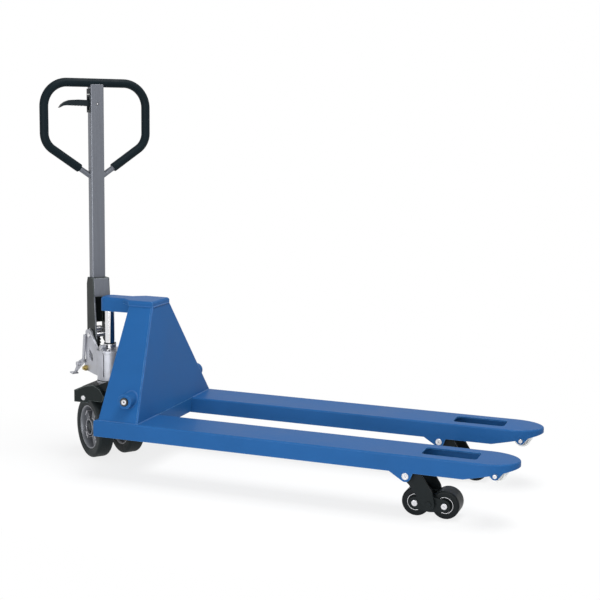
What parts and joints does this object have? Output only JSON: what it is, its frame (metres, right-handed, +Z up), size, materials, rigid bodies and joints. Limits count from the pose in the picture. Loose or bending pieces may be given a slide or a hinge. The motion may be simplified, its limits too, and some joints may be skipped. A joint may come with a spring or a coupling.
{
  "type": "hand pallet truck",
  "caption": "Hand pallet truck with two lifting forks, steered wheels, a tilting pump handle and a release lever, forks raised.",
  "frame": {"origin": "on the floor, under the centre of the bounding box at rest: forks raised, steering turned 37.5 degrees, handle upright", "axes": "+X towards the fork tips, +Y to the truck's left, +Z up"},
  "size_m": [1.5852, 0.544, 1.224],
  "materials": {
    "fork_paint": "gloss",
    "black_casting": "satin",
    "pump_cast": "satin",
    "chrome_rod": "gloss",
    "bright_steel": "satin",
    "tube_steel": "satin",
    "grip_rubber": "matte",
    "lever_plastic": "matte",
    "tyre_rubber": "matte",
    "rim_cast": "satin",
    "roller_tread": "satin",
    "exit_nylon": "satin",
    "brass": "satin",
    "dark_bracket": "satin",
    "spring_steel": "satin"
  },
  "bodies": {
    "thrust_head": {"crosshead": "black_casting", "crosshead_pins": "bright_steel", "thrust_ring": "bright_steel"},
    "chassis": {"fork_left": "fork_paint", "fork_right": "fork_paint", "front_plate": "fork_paint", "side_plate_left": "fork_paint", "side_plate_right": "fork_paint", "head_cap": "fork_paint", "cross_beam": "fork_paint", "shaft_bosses": "fork_paint", "bracket_pins": "bright_steel", "exit_pins": "bright_steel", "rod_lock_screw": "bright_steel", "piston_rod": "chrome_rod"},
    "steer_unit": {"pump_body": "pump_cast", "rod_gland": "bright_steel", "axle_housing": "black_casting", "steer_axle": "bright_steel", "axle_nuts": "bright_steel", "wheel_bearings": "bright_steel", "tilt_pin": "bright_steel", "filler_plug": "bright_steel", "release_valve": "brass", "plunger_spring": "spring_steel"},
    "plunger": {"plunger": "bright_steel"},
    "valve_arm": {"valve_arm": "pump_cast"},
    "handle": {"handle_yoke": "black_casting", "handle_tube": "tube_steel", "handle_loop": "tube_steel", "hand_grip": "grip_rubber", "lever_guide": "lever_plastic", "handle_pins": "bright_steel"},
    "cam_roller": {"cam_roller": "bright_steel"},
    "release_lever": {"release_lever": "lever_plastic"},
    "pull_rod": {"pull_rod": "bright_steel"},
    "lift_shaft": {"torsion_shaft": "dark_bracket", "thrust_arms": "dark_bracket", "rod_levers": "dark_bracket", "rod_pins": "bright_steel"},
    "steer_wheel_left": {"steer_tyre_left": "tyre_rubber", "steer_rim_left": "rim_cast"},
    "push_rod_left": {"push_rod_left": "dark_bracket"},
    "wheel_bracket_left": {"wheel_bracket_left": "dark_bracket"},
    "bogie_pin_left": {"bogie_pin_left": "dark_bracket"},
    "bogie_left": {"rocker_left": "dark_bracket", "roller_axles_left": "bright_steel"},
    "exit_roller_left": {"exit_roller_left": "exit_nylon"},
    "load_roller_left_rear": {"load_roller_left_rear": "roller_tread"},
    "load_roller_left_front": {"load_roller_left_front": "roller_tread"},
    "steer_wheel_right": {"steer_tyre_right": "tyre_rubber", "steer_rim_right": "rim_cast"},
    "push_rod_right": {"push_rod_right": "dark_bracket"},
    "wheel_bracket_right": {"wheel_bracket_right": "dark_bracket"},
    "bogie_pin_right": {"bogie_pin_right": "dark_bracket"},
    "bogie_right": {"rocker_right": "dark_bracket", "roller_axles_right": "bright_steel"},
    "exit_roller_right": {"exit_roller_right": "exit_nylon"},
    "load_roller_right_rear": {"load_roller_right_rear": "roller_tread"},
    "load_roller_right_front": {"load_roller_right_front": "roller_tread"}
  },
  "joints": [
    {"name": "lift", "type": "slide", "parent": "thrust_head", "child": "chassis", "axis": [0, 0, 1], "range_m": [-0.1, 0]},
    {"name": "steering", "type": "hinge", "parent": "thrust_head", "child": "steer_unit", "pos_m": [-0.5934, 0, 0.15], "axis": [0, 0, 1], "range_deg": [-52.5, 127.5]},
    {"name": "handle_tilt", "type": "hinge", "parent": "steer_unit", "child": "handle", "pos_m": [-0.65687, 0.0487, 0.388], "axis": [-0.6088, -0.7934, 0], "range_deg": [0, 75], "stiffness_Nm_per_rad": 35, "springref_deg": -20.05},
    {"name": "plunger_stroke", "type": "slide", "parent": "steer_unit", "child": "plunger", "axis": [0, 0, -1], "range_m": [0, 0.0293], "deforming": ["plunger_spring"]},
    {"name": "cam_roller_spin", "type": "hinge", "parent": "handle", "child": "cam_roller", "pos_m": [-0.67198, 0.06029, 0.40261], "axis": [0.6088, 0.7934, 0], "continuous": true},
    {"name": "lever_squeeze", "type": "hinge", "parent": "handle", "child": "release_lever", "pos_m": [-0.67115, 0.05966, 1.143], "axis": [-0.7934, 0.6088, 0], "range_deg": [-9, 9], "stiffness_Nm_per_rad": 2},
    {"name": "pull_rod_slide", "type": "slide", "parent": "handle", "child": "pull_rod", "axis": [0, 0, 1], "range_m": [-0.003, 0.003]},
    {"name": "valve_arm_swing", "type": "hinge", "parent": "steer_unit", "child": "valve_arm", "pos_m": [-0.69019, 0.07427, 0.296], "axis": [-0.6088, -0.7934, 0], "range_deg": [-8, 8]},
    {"name": "lift_shaft_turn", "type": "hinge", "parent": "chassis", "child": "lift_shaft", "pos_m": [-0.4034, 0, 0.25], "axis": [0, 1, 0], "range_deg": [0, 24.13]},
    {"name": "steer_wheel_left_roll", "type": "hinge", "parent": "steer_unit", "child": "steer_wheel_left", "pos_m": [-0.55992, 0.04363, 0.1], "axis": [0.6088, 0.7934, 0], "continuous": true},
    {"name": "push_rod_left_pivot", "type": "hinge", "parent": "lift_shaft", "child": "push_rod_left", "pos_m": [-0.38499, 0.1975, 0.16384], "axis": [0, 1, 0], "range_deg": [-24.13, 0]},
    {"name": "wheel_bracket_left_swing", "type": "hinge", "parent": "chassis", "child": "wheel_bracket_left", "pos_m": [0.4826, 0.1975, 0.124], "axis": [0, 1, 0], "range_deg": [-62.56, 0]},
    {"name": "bogie_left_level", "type": "hinge", "parent": "wheel_bracket_left", "child": "bogie_pin_left", "pos_m": [0.5473, 0.1975, 0.045], "axis": [0, 1, 0], "range_deg": [0, 62.56]},
    {"name": "bogie_left_rock", "type": "hinge", "parent": "bogie_pin_left", "child": "bogie_left", "pos_m": [0.5473, 0.1975, 0.045], "axis": [0, 1, 0], "range_deg": [-5, 5]},
    {"name": "load_roller_left_rear_roll", "type": "hinge", "parent": "bogie_left", "child": "load_roller_left_rear", "pos_m": [0.50455, 0.1975, 0.041], "axis": [0, 1, 0], "continuous": true},
    {"name": "load_roller_left_front_roll", "type": "hinge", "parent": "bogie_left", "child": "load_roller_left_front", "pos_m": [0.59005, 0.1975, 0.041], "axis": [0, 1, 0], "continuous": true},
    {"name": "exit_roller_left_roll", "type": "hinge", "parent": "chassis", "child": "exit_roller_left", "pos_m": [0.7346, 0.1975, 0.153], "axis": [0, 1, 0], "continuous": true},
    {"name": "steer_wheel_right_roll", "type": "hinge", "parent": "steer_unit", "child": "steer_wheel_right", "pos_m": [-0.62688, -0.04363, 0.1], "axis": [0.6088, 0.7934, 0], "continuous": true},
    {"name": "push_rod_right_pivot", "type": "hinge", "parent": "lift_shaft", "child": "push_rod_right", "pos_m": [-0.38499, -0.1975, 0.16384], "axis": [0, 1, 0], "range_deg": [-24.13, 0]},
    {"name": "wheel_bracket_right_swing", "type": "hinge", "parent": "chassis", "child": "wheel_bracket_right", "pos_m": [0.4826, -0.1975, 0.124], "axis": [0, 1, 0], "range_deg": [-62.56, 0]},
    {"name": "bogie_right_level", "type": "hinge", "parent": "wheel_bracket_right", "child": "bogie_pin_right", "pos_m": [0.5473, -0.1975, 0.045], "axis": [0, 1, 0], "range_deg": [0, 62.56]},
    {"name": "bogie_right_rock", "type": "hinge", "parent": "bogie_pin_right", "child": "bogie_right", "pos_m": [0.5473, -0.1975, 0.045], "axis": [0, 1, 0], "range_deg": [-5, 5]},
    {"name": "load_roller_right_rear_roll", "type": "hinge", "parent": "bogie_right", "child": "load_roller_right_rear", "pos_m": [0.50455, -0.1975, 0.041], "axis": [0, 1, 0], "continuous": true},
    {"name": "load_roller_right_front_roll", "type": "hinge", "parent": "bogie_right", "child": "load_roller_right_front", "pos_m": [0.59005, -0.1975, 0.041], "axis": [0, 1, 0], "continuous": true},
    {"name": "exit_roller_right_roll", "type": "hinge", "parent": "chassis", "child": "exit_roller_right", "pos_m": [0.7346, -0.1975, 0.153], "axis": [0, 1, 0], "continuous": true}
  ],
  "couplings": [
    {"joint": "plunger_stroke", "follows": "handle_tilt", "m_per_rad": 0.022307},
    {"joint": "pull_rod_slide", "follows": "lever_squeeze", "m_per_rad": 0.014},
    {"joint": "valve_arm_swing", "follows": "lever_squeeze", "ratio": 0.8},
    {"joint": "lift_shaft_turn", "follows": "lift", "rad_per_m": -4.2102},
    {"joint": "push_rod_left_pivot", "follows": "lift", "rad_per_m": 4.2102},
    {"joint": "wheel_bracket_left_swing", "follows": "lift", "rad_per_m": 10.917},
    {"joint": "bogie_left_level", "follows": "lift", "rad_per_m": -10.917},
    {"joint": "push_rod_right_pivot", "follows": "lift", "rad_per_m": 4.2102},
    {"joint": "wheel_bracket_right_swing", "follows": "lift", "rad_per_m": 10.917},
    {"joint": "bogie_right_level", "follows": "lift", "rad_per_m": -10.917}
  ]
}
